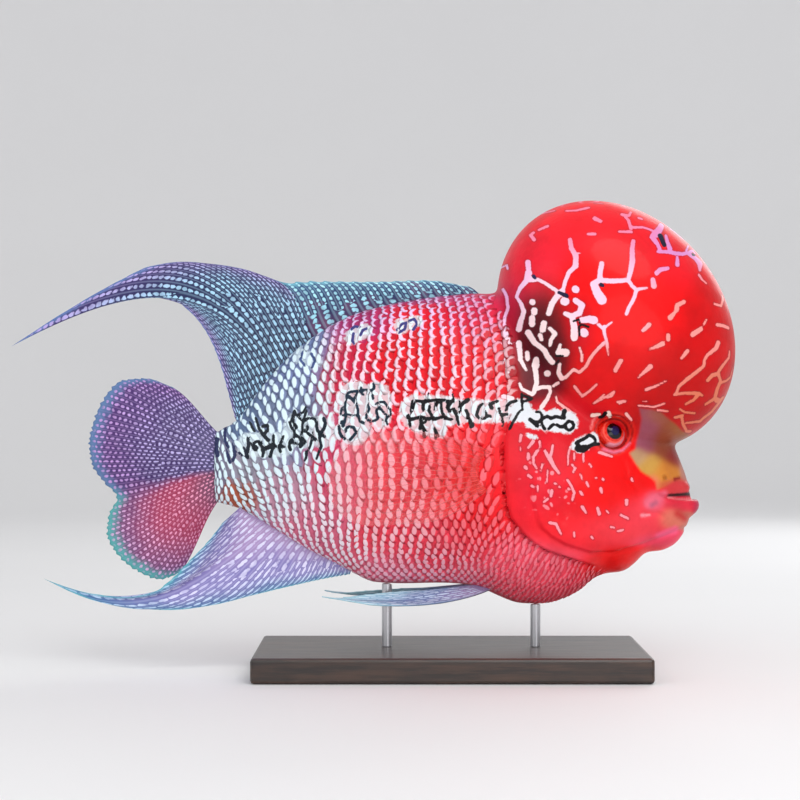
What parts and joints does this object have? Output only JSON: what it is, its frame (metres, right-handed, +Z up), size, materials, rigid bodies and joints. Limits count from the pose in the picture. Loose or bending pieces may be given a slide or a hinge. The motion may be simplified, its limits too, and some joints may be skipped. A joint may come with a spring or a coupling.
{
  "type": "flowerhorn cichlid model",
  "caption": "Life-size still model of a flowerhorn cichlid with a large red forehead hump, long trailing fins and pearly scales, held level on a small display stand.",
  "frame": {"origin": "centre of the stand's underside, on the floor", "axes": "+X towards the fish's snout, +Y towards its left side, +Z up"},
  "size_m": [0.3562, 0.104, 0.2312],
  "materials": {
    "red_flesh": "glossy red skin with pale pearl scales and dark marks along the side",
    "lip_flesh": "glossy pink-red lips and chin",
    "pearly_flesh": "blue-grey skin with pale pearl spots",
    "fin_membrane": "blue-violet fin membrane with rows of pale dots along the rays",
    "eye_gloss": "clear domed eye with a red iris and a dark pupil",
    "rod_steel": "brushed steel rod",
    "base_wood": "dark stained wood with a satin varnish"
  },
  "bodies": {
    "root": {"head": "red_flesh", "nuchal_hump": "red_flesh", "torso": "red_flesh", "gill_cover_right": "red_flesh", "gill_cover_left": "red_flesh", "lower_jaw": "lip_flesh", "tail_stem": "pearly_flesh", "dorsal_fin_spiny": "fin_membrane", "dorsal_fin_soft": "fin_membrane", "dorsal_streamer": "fin_membrane", "anal_fin": "fin_membrane", "anal_streamer": "fin_membrane", "caudal_fin": "fin_membrane", "pectoral_fin_right": "fin_membrane", "pectoral_fin_left": "fin_membrane", "pelvic_fin_right": "fin_membrane", "pelvic_fin_left": "fin_membrane", "eye_right": "eye_gloss", "eye_left": "eye_gloss", "stand_rod_front": "rod_steel", "stand_rod_rear": "rod_steel", "stand_base": "base_wood"}
  },
  "joints": []
}
